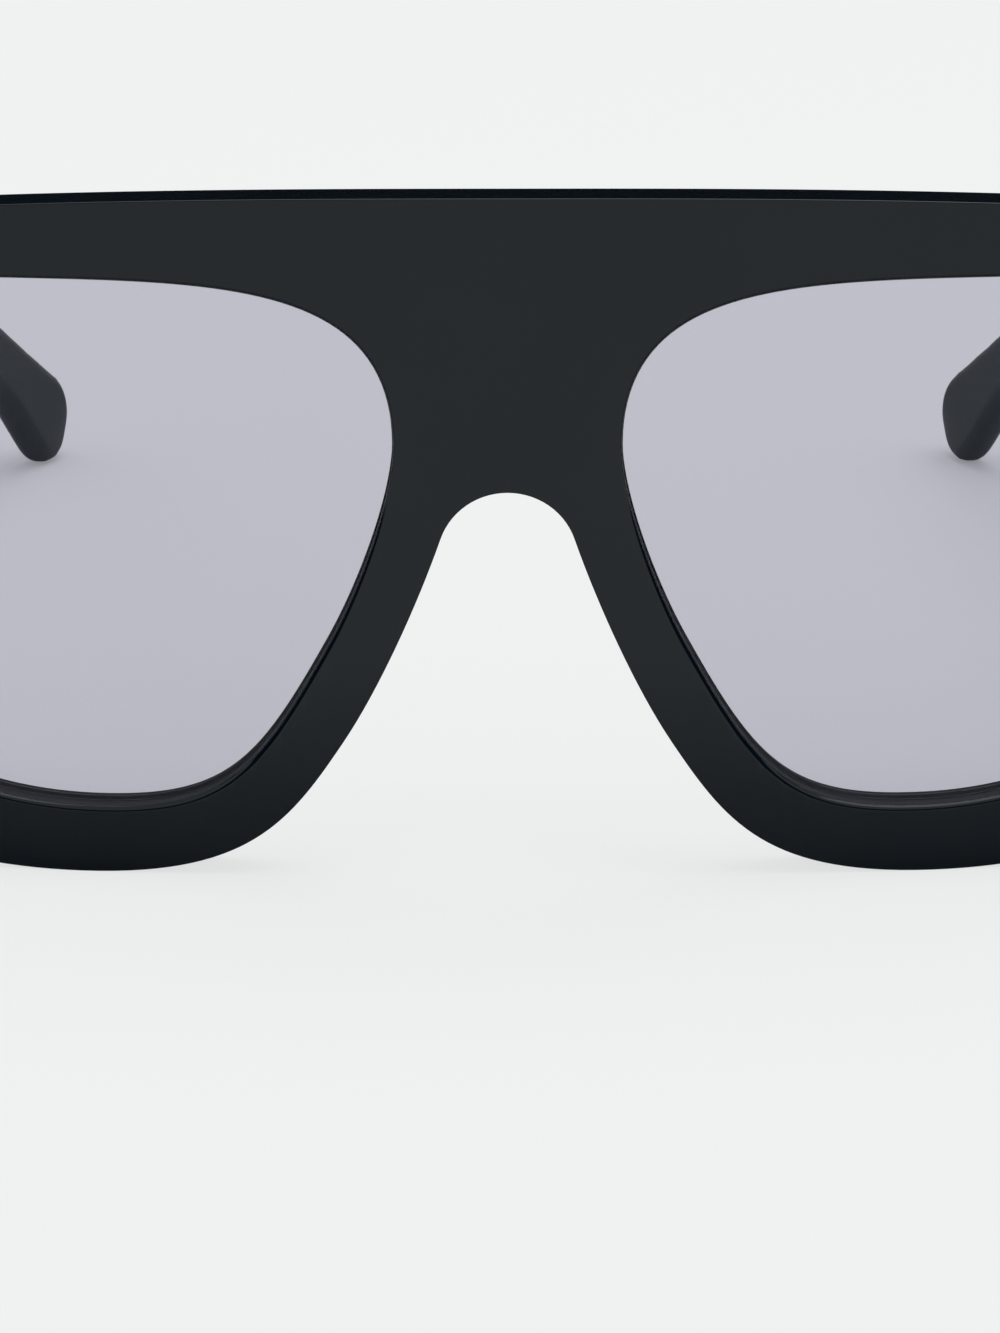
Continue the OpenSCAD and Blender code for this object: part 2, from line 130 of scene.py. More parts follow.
class TempleSizes(bpy.types.PropertyGroup):
    """Sizes of the temples."""
    length: length("Length", "From the hinge to the tip", 138.7 * MM)
    end_height: length("End height", "Height where the temple meets the front", 12.4 * MM)
    slim_height: length("Slim height", "Height of the temple at its slimmest", 8.4 * MM)
    tip_height: length("Tip height", "Height of the temple's tip", 10.6 * MM)
    thickness: length("Thickness", "Thickness at the hinge", 4.2 * MM)
    tip_thickness: length("Tip thickness", "Thickness at the tip", 3.8 * MM)
    edge: length("Edge", "Round of the long edges", 1.6 * MM)
    inner: length("Inner side", "From the hinge's axis to the temple's inner side", 2.2 * MM)
    butt_gap: length("Butt gap", "Gap between the temple and the front", 0.15 * MM)
    bend_at: length("Bend at", "From the hinge to the start of the ear bend", 74 * MM)
    bend_length: length("Bend length", "Length over which the ear bend turns", 20 * MM)
    ear_bend: bpy.props.FloatProperty(
        name="Ear bend", description="Angle of the ear bend", default=math.radians(25),
        unit="ROTATION")
    bow: length("Bow radius", "Radius at which the temples close in", 335 * MM)


class HingeSizes(bpy.types.PropertyGroup):
    """Sizes of the five-barrel hinges, their screws and rivets."""
    barrel: length("Barrel", "Outer radius of the barrels", 1.9 * MM)
    barrel_height: length("Barrel height", "Height of one of the five barrels", 1.66 * MM)
    barrel_gap: length("Barrel gap", "Gap between neighbouring barrels", 0.06 * MM)
    edge: length("Edge", "Round on the hinge's edges", 0.12 * MM)
    front_leaf: length("Front leaf", "Height of the leaf on the front", 14.6 * MM)
    temple_leaf: length("Temple leaf", "Length of the leaf on the temple", 13.4 * MM)
    leaf_height: length("Leaf height", "Height of the leaf on the temple", 6 * MM)
    front_proud: length("Front leaf stands", "Height of the front leaf over the acetate", 0.25 * MM)
    temple_proud: length("Temple leaf stands", "Height of the temple leaf over the acetate",
                         0.45 * MM)
    screw_head: length("Screw head", "Radius of the screw's head", 1.25 * MM)
    slot: length("Slot", "Width of the slot in the screw's head", 0.36 * MM)
    rivet_head: length("Rivet head", "Radius of the rivet heads", 1 * MM)


class FinishColours(bpy.types.PropertyGroup):
    """Colours of the finishes and of the stage."""
    acetate: colour("Acetate", "Polished black acetate", (0.0012, 0.0042, 0.0072, 1))
    tint: colour("Lens tint", "What white light becomes through a lens", (0.575, 0.564, 0.636, 1))
    nickel: colour("Nickel silver", "Satin hinge metal", (0.60, 0.59, 0.56, 1))
    steel: colour("Steel", "Screws, rivets and core wires", (0.55, 0.56, 0.58, 1))
    backdrop: colour("Backdrop", "Pale floor and background", (0.855, 0.88, 0.871, 1))


# Curves

def heading(degrees):
    """Unit vector at an angle from +X, in the plane of an outline."""
    angle = math.radians(degrees)
    return Vector((math.cos(angle), math.sin(angle)))


def arc(centre, radius, start, end, steps):
    """Points on an arc of an outline, from one angle in degrees to another."""
    return [centre + radius * heading(start + (end - start) * i / steps)
            for i in range(steps + 1)]


def curve(start, leave, reach, end, arrive, pull, count):
    """Cubic curve between two outline points, without its last point. It leaves and arrives
    at the angles given, on handles as long as reach and pull."""
    points = interpolate_bezier(
        start, start + heading(leave) * reach, end - heading(arrive) * pull, end, count + 1)
    return points[:-1]


def rounded_box(half_width, half_height, radius, steps=8):
    """Clockwise rounded rectangle round the origin."""
    points = []
    for x, z, turn in ((1, -1, 0), (-1, -1, -90), (-1, 1, -180), (1, 1, -270)):
        centre = Vector((x * (half_width - radius), z * (half_height - radius)))
        points += arc(centre, radius, turn, turn - 90, steps)
    return points


def mirrored(points):
    """The same points on the other side of the nose, still clockwise."""
    return [Vector((-p.x, p.y)) for p in reversed(points)]


def normals(outline):
    """Outward normals of a clockwise closed outline."""
    found = []
    for i in range(len(outline)):
        along = (outline[(i + 1) % len(outline)] - outline[i - 1]).normalized()
        found.append(Vector((-along.y, along.x)))
    return found


def ease(at, start, reach):
    """Smooth step from 0 to 1, over a reach that begins at start."""
    t = max(0.0, min(1.0, (at - start) / reach))
    return t * t * (3 - 2 * t)


def rounding(edge, steps=4):
    """Inset and depth of the points round an edge, from the face to the wall."""
    turns = [math.pi / 2 * i / steps for i in range(steps + 1)]
    return [(edge * (1 - math.sin(a)), edge * (1 - math.cos(a))) for a in turns]


def from_far(profile, far):
    """A profile turned over, so that it ends on the face at the depth far."""
    return [(inset, far - depth) for inset, depth in reversed(profile)]


# Outlines of the front and the temples

def wrapped_y(sizes, x, depth):
    """Y of a point at a depth behind the front's wrapped outer face."""
    radius = sizes.wrap - depth
    return FRONT_Y + sizes.wrap - math.sqrt(radius * radius - x * x)


def depth_at(sizes, x, y):
    """Depth behind the wrapped outer face of a point at x, y."""
    return sizes.wrap - math.hypot(sizes.wrap - (y - FRONT_Y), x)


def brow_height(sizes, x):
    """Height of the brow line at a distance from the middle."""
    return sizes.height - sizes.brow_drop * (2 * x / sizes.width) ** BROW_POWER


def opening_outline(sizes):
    """The left opening, clockwise from its point nearest the nose, its lowest point, and the
    lengths that a drawn millimetre takes across and up."""
    near = sizes.bridge / 2
    far = sizes.width / 2 - sizes.end
    top = sizes.height - sizes.brow_rim
    wide = (far - near) / DRAWN_WIDE
    tall = (top - sizes.lower_rim) / DRAWN_TALL
    nose = Vector((near, top - 13 * tall))
    flank = nose + Vector((5.2 * wide, -16.2 * tall))
    peak = Vector((near + 29.9 * wide, top))
    side = Vector((far, top - 12.4 * tall))
    low = Vector((near + 24.2 * wide, sizes.lower_rim))
    points = (
        curve(nose, 90, 12.9 * tall, peak, 0, 17.3 * wide, 40)
        + curve(peak, 0, 17 * wide, side, -90, 9.5 * tall, 40)
        + curve(side, -90, 22 * tall, low, 180, 15.5 * wide, 52)
        + curve(low, 180, 10.4 * wide, flank, 118.6, 12.6 * tall, 36)
        + curve(flank, 118.6, 4.8 * tall, nose, 90, 4.4 * tall, 18)
    )
    return points, low, wide, tall


def front_outline(sizes):
    """The whole front, clockwise from the middle of the brow. It passes the end block, the
    rim beside and under the opening, and the arch's flank and round top."""
    _, low, wide, tall = opening_outline(sizes)
    half = sizes.width / 2
    corner = sizes.corner
    brow_end = half - corner
    end_top = Vector((half, brow_height(sizes, half) - corner))
    end_lean = 0.3 * MM
    end_handle = 4 * MM
    temple = bpy.context.scene.sunglasses_temple
    end_low = Vector((half - end_lean, PIVOT.z - temple.end_height / 2))
    rim_side = Vector((half - sizes.end + sizes.side_rim, end_low.y - 13 * tall))
    rim_low = Vector((low.x + 1.4 * MM, 0))
    centre = Vector((0, sizes.height - sizes.bridge_height - sizes.arch_radius))
    arch_turn = 19
    join = centre + heading(arch_turn) * sizes.arch_radius
    flank_rise = 0.4041
    flank = Vector((join.x + 7.9 * wide, flank_rise * join.y))
    slope = math.degrees(math.atan(
        BROW_POWER * sizes.brow_drop / half * (brow_end / half) ** (BROW_POWER - 1)))
    steps = 52
    brow = [brow_end * i / steps for i in range(steps)]
    points = (
        [Vector((x, brow_height(sizes, x))) for x in brow]
        + curve(Vector((brow_end, brow_height(sizes, brow_end))), -slope, QUARTER * corner,
                end_top, -90, QUARTER * corner, 10)
        + curve(end_top, -90, end_handle, end_low, -94, end_handle, 8)
        + curve(end_low, -94, 5 * tall, rim_side, -90, 7 * tall, 24)
        + curve(rim_side, -90, 13 * tall, rim_low, 180, 24 * wide, 54)
        + curve(rim_low, 180, 13.6 * wide, flank, 123, 8.3 * tall, 30)
        + curve(flank, 123, 5.3 * tall, join, 90 + arch_turn, 5.8 * tall, 16)
        + arc(centre, sizes.arch_radius, arch_turn, 90, 14)
    )
    return points + mirrored(points[1:-1])


def pad_line(sizes, count):
    """Middle line of the left nose pad, between the arch's flank and the opening. It starts
    steeper than its fall, and ends flatter."""
    fall = 62.5
    steeper = 12
    flatter = 5
    reach = sizes.pad_length / 3
    top = Vector((7.75 * MM, sizes.height - sizes.bridge_height - 4.2 * MM))
    end = top + sizes.pad_length * heading(-fall)
    return curve(top, -fall - steeper, reach, end, -fall + flatter, reach, count)


def temple_axes(sizes, at):
    """Directions along, across and up the left temple at a distance along its line."""
    straight = 25 * MM
    yaw = max(0.0, at - straight) / sizes.bow
    pitch = sizes.ear_bend * ease(at, sizes.bend_at, sizes.bend_length)
    along = Vector((-math.sin(yaw) * math.cos(pitch), math.cos(yaw) * math.cos(pitch),
                    -math.sin(pitch)))
    across = Vector((math.cos(yaw), math.sin(yaw), 0))
    return along, across, across.cross(along)


def temple_section(sizes, at):
    """Half thickness, half height and lift of the temple's section at a distance along its
    line. The upper edge rises a little behind the ear. The lower edge draws in to a neck
    there, and swells again over the tip."""
    taper = 46 * MM
    thinning = 98 * MM
    neck = 2.2 * MM
    rise = 1 * MM
    swell = 18 * MM
    thin_end = 0.7
    slim = sizes.slim_height / 2
    above = slim + (sizes.end_height / 2 - slim) * (1 - ease(at, 0, taper))
    below = above - neck * ease(at, 80 * MM, 40 * MM)
    above += rise * ease(at, 70 * MM, 58 * MM)
    tip = sizes.tip_height - above
    below += (tip - below) * ease(at, sizes.length - swell, swell)
    thick = sizes.thickness + (sizes.tip_thickness - sizes.thickness) * ease(at, 0, thinning)
    past = max(0.0, at - sizes.length + sizes.tip_height / 2) / (sizes.tip_height / 2)
    close = (1 - past ** TIP_POWER) ** (1 / TIP_POWER)
    half = thick / 2 * (thin_end + (1 - thin_end) * close)
    return half, (above + below) / 2 * close, (above - below) / 2


# Mesh tools

def new_mesh():
    """An empty mesh with the layer that numbers the vertices of a ring."""
    bm = bmesh.new()
    bm.verts.layers.int.new("station")
    return bm


def only(made, kind):
    """What an operator made, of one kind."""
    return [g for g in made["geom"] if isinstance(g, kind)]


def loop_of(bm, points):
    """A closed loop of edges through points, each vertex numbered in the station layer."""
    station = bm.verts.layers.int["station"]
    verts = [bm.verts.new(p) for p in points]
    for i, vert in enumerate(verts):
        vert[station] = i
    return [bm.edges.new(pair) for pair in zip(verts, verts[1:] + verts[:1])]


def swept(bm, rings):
    """A wall through closed rings of points. Returns the first and last loops of edges."""
    station = bm.verts.layers.int["station"]
    first = edges = loop_of(bm, rings[0])
    for ring in rings[1:]:
        made = bmesh.ops.extrude_edge_only(bm, edges=edges)
        kept = set(only(made, bmesh.types.BMVert))
        for vert in kept:
            vert.co = ring[vert[station]]
        edges = [e for e in only(made, bmesh.types.BMEdge) if set(e.verts) <= kept]
    return first, edges


def closed(bm, rings):
    """A wall through rings of points, filled at both ends."""
    for edges in swept(bm, rings):
        bmesh.ops.edgeloop_fill(bm, edges=edges)


def block(bm, outline, profile, place):
    """A closed block. The profile's (inset, height) points run from its foot to its top, and
    place turns an outline point and a height into a point of the frame."""
    outwards = normals(outline)
    closed(bm, [[place(p - q * inset, height) for p, q in zip(outline, outwards)]
                for inset, height in profile])


def turned(bm, profile, matrix, steps=36):
    """A round part: (radius, height) points turned round Z, then placed."""
    before = set(bm.verts)
    verts = [bm.verts.new((radius, 0, height)) for radius, height in profile]
    edges = [bm.edges.new(pair) for pair in zip(verts, verts[1:])]
    bmesh.ops.spin(bm, geom=verts + edges, cent=(0, 0, 0), axis=(0, 0, 1), angle=2 * math.pi,
                   steps=steps, use_merge=True)
    made = [v for v in bm.verts if v not in before]
    bmesh.ops.transform(bm, matrix=matrix, verts=made)


def slice_flats(bm, levels, step=2 * MM):
    """Cuts the faces that lie flat at the levels into upright strips, so that they can bend."""
    widest = max(abs(v.co.x) for v in bm.verts)
    count = int(widest / step)
    for i in range(-count, count + 1):
        flat = [f for f in bm.faces
                if all(min(abs(v.co.y - painted_shade_level) for painted_shade_level in levels) < TINY for v in f.verts)
                and abs(f.normal.y) > 0.5]
        geometry = set(flat)
        for face in flat:
            geometry.update(face.edges, face.verts)
        bmesh.ops.bisect_plane(bm, geom=list(geometry), dist=0.1 * MM,
                               plane_co=(i * step, 0, 0), plane_no=(1, 0, 0))


def plate(bm, outlines):
    """A flat plate in X and Z whose Y is the depth. Each outline is (points, inwards, profile,
    second), where the profile's (inset, depth) points run from the front face to the rear
    face. Its wall takes the second material between the two depths in second, if any."""
    front, rear = [], []
    for points, inwards, profile, second in outlines:
        before = set(bm.faces)
        first, last = swept(bm, [
            [Vector((p.x + q.x * inset, depth, p.y + q.y * inset)) for p, q in zip(points, inwards)]
            for inset, depth in profile])
        for face in set(bm.faces) - before:
            if second and all(second[0] - TINY < v.co.y < second[1] + TINY for v in face.verts):
                face.material_index = 1
        front += first
        rear += last
    levels = {edges[0].verts[0].co.y for edges in (front, rear)}
    for edges in (front, rear):
        bmesh.ops.triangle_fill(bm, edges=edges, use_beauty=True)
    slice_flats(bm, levels)


def wrap(bm, sizes):
    """Bends a flat plate round the front's upright axis."""
    for vert in bm.verts:
        vert.co.y = wrapped_y(sizes, vert.co.x, vert.co.y)


def at_hinge():
    """From the left hinge's own axes to the frame: X outwards, Y back, Z along the screw."""
    return Matrix.Translation(PIVOT) @ Matrix.Rotation(-TEMPLE_SLOPE, 4, "X")


def on_hinge(point, height):
    """The place of an outline's point round the hinge's axis, at a height along the screw."""
    return at_hinge() @ Vector((point.x, point.y, height))


def off_front(sizes, x, z):
    """From axes that stand off the front's rear face at x, z to the frame."""
    turn = math.asin(x / (sizes.wrap - sizes.thickness))
    return (Matrix.Translation((x, wrapped_y(sizes, x, sizes.thickness), z))
            @ Matrix.Rotation(turn, 4, "Z") @ Matrix.Rotation(-math.pi / 2, 4, "X"))


def to_object(bm, name, materials):
    """Puts the mesh in a new object of the scene."""
    mesh = bpy.data.meshes.new(name)
    bm.to_mesh(mesh)
    bm.free()
    for material in materials:
        mesh.materials.append(material)
    made = bpy.data.objects.new(name, mesh)
    bpy.context.scene.collection.objects.link(made)
    return made


def to_piece(bm, name, materials, body, node, side=1, sharp=32):
    """Makes the finished piece, on its body, in place of its CAD node. Side -1 mirrors it, and
    an edge that turns by the sharp angle or more stays hard."""
    bmesh.ops.scale(bm, vec=(side, 1, 1), verts=bm.verts)
    bmesh.ops.remove_doubles(bm, verts=bm.verts, dist=TINY)
    bmesh.ops.recalc_face_normals(bm, faces=bm.faces)
    for face in bm.faces:
        face.smooth = True
    for edge in bm.edges:
        edge.smooth = len(edge.link_faces) == 2 and edge.calc_face_angle() < math.radians(sharp)
    piece = to_object(bm, name, materials)
    weighted = piece.modifiers.new("Even normals", "WEIGHTED_NORMAL")
    weighted.keep_sharp = True
    weighted.weight = 50
    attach(piece, body)
    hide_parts(node)


# Node tools

def feed(node, inputs):
    """Gives inputs, by name or number, their values or other nodes' outputs."""
    for name, value in inputs.items():
        if isinstance(value, bpy.types.NodeSocket):
            node.id_data.links.new(value, node.inputs[name])
        else:
            node.inputs[name].default_value = value


def add(tree, kind, inputs=None, **settings):
    """A new shader node with its settings and inputs."""
    node = tree.nodes.new("ShaderNode" + kind)
    for name, value in settings.items():
        setattr(node, name, value)
    feed(node, inputs or {})
    return node


def place_on(tree):
    """The place on the piece, in the object's own coordinates."""
    return add(tree, "TexCoord").outputs["Object"]


def noise(tree, place, scale, detail=2, **rest):
    """A mask of soft noise."""
    return add(tree, "TexNoise", {"Vector": place, "Scale": scale, "Detail": detail,
                                  **rest}).outputs["Fac"]


def calc(tree, operation, *values, clamp=False):
    """What a Math node makes of its values."""
    return add(tree, "Math", dict(enumerate(values)), operation=operation,
               use_clamp=clamp).outputs["Value"]


def rescaled(tree, value, old=(0, 1), new=(0, 1)):
    """A value moved from an old range to a new one."""
    return add(tree, "MapRange", {
        "Value": value, "From Min": old[0], "From Max": old[1], "To Min": new[0],
        "To Max": new[1]}).outputs["Result"]


def shaded(tree, own, factor):
    """A colour made darker or lighter by a factor."""
    return add(tree, "VectorMath", {0: own, "Scale": factor}, operation="SCALE").outputs["Vector"]


def mixed(tree, mask, first, second):
    """One colour where a mask is 0, and a second where it is 1."""
    return add(tree, "Mix", {"Factor": mask, "A": first, "B": second},
               data_type="RGBA").outputs["Result"]


def show_mixed(tree, mask, first, second, output):
    """Shows one shader node where a mask is 0, and a second where it is 1."""
    mix = add(tree, "MixShader", {"Fac": mask, 1: first.outputs[0], 2: second.outputs[0]})
    feed(tree.nodes[output], {"Surface": mix.outputs["Shader"]})


def new_group(name, inputs, outputs):
    """A node group, what it is given and its output node. Inputs are (name, kind, default)
    and outputs are (name, kind)."""
    group = bpy.data.node_groups.new(name, "ShaderNodeTree")
    sockets = group.interface
    for label, kind, default in inputs:
        made = sockets.new_socket(name=label, in_out="INPUT", socket_type="NodeSocket" + kind)
        made.default_value = default
    for label, kind in outputs:
        sockets.new_socket(name=label, in_out="OUTPUT", socket_type="NodeSocket" + kind)
    return group, group.nodes.new("NodeGroupInput").outputs, group.nodes.new("NodeGroupOutput")


def new_material(name):
    """A material, its tree and its Principled shader."""
    made = bpy.data.materials.new(name)
    made.use_nodes = True
    return made, made.node_tree, made.node_tree.nodes["Principled BSDF"]


def toned(own, share):
    """A plain colour with its channels multiplied."""
    return [c * share for c in own[:3]] + [1]


# Finishes

def polish_group():
    """Hairlines, handling haze and a slow ripple, as roughness and a normal."""
    name = "Polished surface"
    if name in bpy.data.node_groups:
        return bpy.data.node_groups[name]
    group, given, out = new_group(
        name,
        (("Roughness", "Float", 0.06), ("Haze", "Float", 0.03), ("Hairlines", "Float", 0.03),
         ("Ripple", "Float", 0.02)),
        (("Roughness", "Float"), ("Normal", "Vector")))
    place = place_on(group)
    haze = noise(group, place, 55, 4, Roughness=0.6)
    stretch = add(group, "Mapping", {
        "Vector": place, "Rotation": (0.3, 0.2, 0.5), "Scale": (180, 1400, 1400)})
    lines = rescaled(group, noise(group, stretch.outputs["Vector"], 1), old=(0.62, 0.78))
    hazy = calc(group, "MULTIPLY_ADD", haze, given["Haze"], given["Roughness"])
    ripple = add(group, "Bump", {
        "Strength": given["Ripple"], "Distance": 0.02 * MM, "Height": noise(group, place, 45, 1)})
    feed(out, {
        "Roughness": calc(group, "MULTIPLY_ADD", lines, given["Hairlines"], hazy),
        "Normal": ripple.outputs["Normal"],
    })
    return group


def brushed_group():
    """Fine parallel grain with soft wear, as colour, roughness and a normal."""
    name = "Brushed metal"
    if name in bpy.data.node_groups:
        return bpy.data.node_groups[name]
    group, given, out = new_group(
        name,
        (("Color", "Color", (0.6, 0.6, 0.6, 1)), ("Roughness", "Float", 0.3),
         ("Grain", "Vector", (300, 2600, 2600))),
        (("Color", "Color"), ("Roughness", "Float"), ("Normal", "Vector")))
    place = place_on(group)
    stretch = add(group, "VectorMath", {0: place, 1: given["Grain"]}, operation="MULTIPLY")
    grain = noise(group, stretch.outputs["Vector"], 1, 3)
    stain = rescaled(group, noise(group, place, 420), new=(0.72, 1.12))
    scratches = add(group, "Bump", {"Strength": 0.35, "Distance": 0.03 * MM, "Height": grain})
    feed(out, {
        "Color": shaded(group, given["Color"], stain),
        "Roughness": calc(group, "MULTIPLY_ADD", grain, 0.18, given["Roughness"]),
        "Normal": scratches.outputs["Normal"],
    })
    return group


def acetate(name, haze, hairlines):
    """Polished near-black acetate with a faint cool body colour."""
    made, tree, shader = new_material(name)
    own = bpy.context.scene.sunglasses_colours.acetate
    polish = add(tree, "Group", {
        "Roughness": 0.05, "Haze": haze, "Hairlines": hairlines, "Ripple": 0.1},
        node_tree=polish_group())
    cloud = noise(tree, place_on(tree), 90, 3)
    feed(shader, {
        "IOR": 1.46,
        "Specular IOR Level": 0.33,
        "Base Color": mixed(tree, cloud, toned(own, 0.75), toned(own, 1.35)),
        "Roughness": polish.outputs["Roughness"],
        "Normal": polish.outputs["Normal"],
    })
    return made


def gritty(name, gloss, scale, detail, dark, light, roughness):
    """Cut plastic that was never polished, with fine grit in its colour and roughness."""
    made, tree, shader = new_material(name)
    grit = noise(tree, place_on(tree), scale, detail)
    feed(shader, {
        "Specular IOR Level": gloss,
        "Base Color": mixed(tree, grit, dark, light),
        "Roughness": rescaled(tree, grit, new=roughness),
    })
    return made


def milled_acetate():
    """The walls of the lens openings, as the cutter leaves them."""
    return gritty("Milled acetate", 0.12, 1900, 3, (0.010, 0.012, 0.016, 1),
                  (0.028, 0.030, 0.036, 1), (0.45, 0.7))


def lens_edge_painted_shade():
    """The lens's ground V edge, painted dark for the shade of the groove it sits in."""
    # Painted shade: dark opaque grit colours stand in for the groove's shade on the edge
    return gritty("Lens edge in painted shade", 0.2, 2600, 2, (0.006, 0.006, 0.009, 1),
                  (0.02, 0.021, 0.026, 1), (0.4, 0.6))


def tinted_lens():
    """Clear tinted sheet. Lamps reach through it, so it throws a soft tinted shadow."""
    made, tree, shader = new_material("Tinted lens")
    tint = bpy.context.scene.sunglasses_colours.tint
    polish = add(tree, "Group", {
        "Roughness": 0.0, "Haze": 0.012, "Hairlines": 0.01, "Ripple": 0.0},
        node_tree=polish_group())
    cloud = noise(tree, place_on(tree), 30)
    feed(shader, {
        "Transmission Weight": 1,
        "IOR": 1.5,
        "Specular Tint": (0.26, 0.3, 0.34, 1),
        "Base Color": mixed(tree, cloud, toned(tint, 0.985), toned(tint, 1.015)),
        "Roughness": polish.outputs["Roughness"],
    })
    shadow = add(tree, "LightPath").outputs["Is Shadow Ray"]
    through = add(tree, "BsdfTransparent", {"Color": [math.sqrt(c) for c in tint[:3]] + [1]})
    show_mixed(tree, shadow, shader, through, "Material Output")
    return made


def metal(name, own, roughness, grain):
    """Satin metal. The grain's numbers say how fine it is along X, Y and Z."""
    made, tree, shader = new_material(name)
    brushed = add(tree, "Group", {"Color": own, "Roughness": roughness, "Grain": grain},
                  node_tree=brushed_group())
    feed(shader, {
        "Metallic": 1,
        "Base Color": brushed.outputs["Color"],
        "Roughness": brushed.outputs["Roughness"],
        "Normal": brushed.outputs["Normal"],
    })
    return made


def pale_paper(pale):
    """Floor paper. Seen straight or through a lens it is nearly even and keeps a faint
    shadow. Reflections see it lit, and with painted shade that darkens it towards the front and
    under it."""
    made, tree, shader = new_material("Pale paper")
    path = add(tree, "LightPath").outputs
    split = add(tree, "SeparateXYZ", {"Vector": place_on(tree)})
    # Painted shade for reflections: the paper's colour falls to 0.38 at the front's face and under
    # the front, and is full 60 mm ahead of it
    ahead = rescaled(tree, split.outputs["Y"], old=(FRONT_Y, FRONT_Y - 60 * MM))
    painted_shade_level = rescaled(tree, calc(tree, "POWER", ahead, 0.75), new=(0.38, 1))
    glossy = calc(tree, "SUBTRACT", path["Is Glossy Ray"], path["Is Transmission Ray"], clamp=True)
    feed(shader, {
        "Roughness": 0.9,
        "Specular IOR Level": 0.1,
        # Glossy rays see the paper with this painted shade
        "Base Color": mixed(tree, glossy, pale, shaded(tree, pale[:3], painted_shade_level)),
    })
    straight = calc(tree, "MULTIPLY", path["Is Camera Ray"], 0.82)
    even = calc(tree, "MULTIPLY_ADD", path["Is Transmission Ray"], 0.45, straight)
    show_mixed(tree, even, shader, add(tree, "Emission", {"Color": pale}), "Material Output")
    return made


def dark_card():
    """Dull dark card."""
    made, _, shader = new_material("Dark card")
    feed(shader, {"Base Color": (0.01, 0.01, 0.011, 1), "Roughness": 1, "Specular IOR Level": 0})
    return made


# Front, lenses and nose pads

def flat_front(bm, sizes):
    """The front before it is wrapped, with its rounded edges and the openings' grooves. Polish
    reaches part of the way round the openings' lips, and the walls behind it are milled."""
    thick = sizes.thickness
    outer = front_outline(sizes)
    opening = opening_outline(sizes)[0]
    other = mirrored(opening)
    edge = rounding(sizes.edge)
    lip = rounding(sizes.lip)
    middle = sizes.lens_depth + sizes.lens_thickness / 2
    groove = [(0, middle - sizes.groove), (sizes.groove, middle), (0, middle + sizes.groove)]
    wall = lip + groove + from_far(lip, thick)
    polished = 0.6 * sizes.lip
    milled = (polished, thick - polished)
    plate(bm, [
        (outer, [-q for q in normals(outer)], edge + from_far(edge, thick), None),
        (opening, normals(opening), wall, milled),
        (other, normals(other), wall, milled),
    ])


def draw_end_blocks(bm, sizes, temple):
    """Draws the flat front's rear face back at its ends, as far as the temples' butt ends."""
    block_x = PIVOT.x + temple.inner
    for side in (1, -1):
        bmesh.ops.bisect_plane(bm, geom=bm.verts[:] + bm.edges[:] + bm.faces[:], dist=10 * TINY,
                               plane_co=(side * block_x, 0, 0), plane_no=(1, 0, 0))
    rear = [f for f in bm.faces
            if abs(f.calc_center_median().x) > block_x
            and min(v.co.y for v in f.verts) > sizes.thickness - sizes.edge - TINY]
    made = bmesh.ops.extrude_face_region(bm, geom=rear)
    bmesh.ops.delete(bm, geom=[f for f in rear if f.is_valid], context="FACES")
    for vert in only(made, bmesh.types.BMVert):
        lean = (vert.co.z - PIVOT.z) * math.sin(TEMPLE_SLOPE)
        butt = PIVOT.y + (lean - temple.butt_gap / 2) / math.cos(TEMPLE_SLOPE)
        butt -= sizes.thickness - vert.co.y
        vert.co.y = depth_at(sizes, vert.co.x, butt)


class SUNGLASSES_OT_front(bpy.types.Operator):
    """Build the milled front with its rounded edges, lens grooves and end blocks"""
    bl_idname = "sunglasses.front"
    bl_label = "Front"

    def execute(self, context):
        sizes = context.scene.sunglasses_front
        bm = new_mesh()
        flat_front(bm, sizes)
        draw_end_blocks(bm, sizes, context.scene.sunglasses_temple)
        wrap(bm, sizes)
        finishes = [acetate("Front acetate", 0.03, 0.03), milled_acetate()]
        to_piece(bm, "front_polished", finishes, "front", "frame_front")
        return {"FINISHED"}


class SUNGLASSES_OT_lenses(bpy.types.Operator):
    """Build the two wrapped lenses with their V edges"""
    bl_idname = "sunglasses.lenses"
    bl_label = "Lenses"

    def execute(self, context):
        sizes = context.scene.sunglasses_front
        opening = opening_outline(sizes)[0]
        thick = sizes.lens_thickness
        gap = sizes.lens_gap
        tip = sizes.groove - gap * math.sqrt(2)
        land = 0.05 * MM
        near = [(-gap, 0), (-gap, thick / 2 - tip - gap), (tip - land, thick / 2 - land)]
        face = sizes.lens_depth
        profile = [(inset, face + depth) for inset, depth in near + from_far(near, thick)]
        # The lens's V edges take the painted shade of the groove
        finishes = [tinted_lens(), lens_edge_painted_shade()]
        for name, side in SIDES.items():
            bm = new_mesh()
            plate(bm, [(opening, normals(opening), profile, (face, face + thick))])
            wrap(bm, sizes)
            to_piece(bm, f"{name}_lens_tinted", finishes, "front", f"{name}_lens",
                     side)
        return {"FINISHED"}


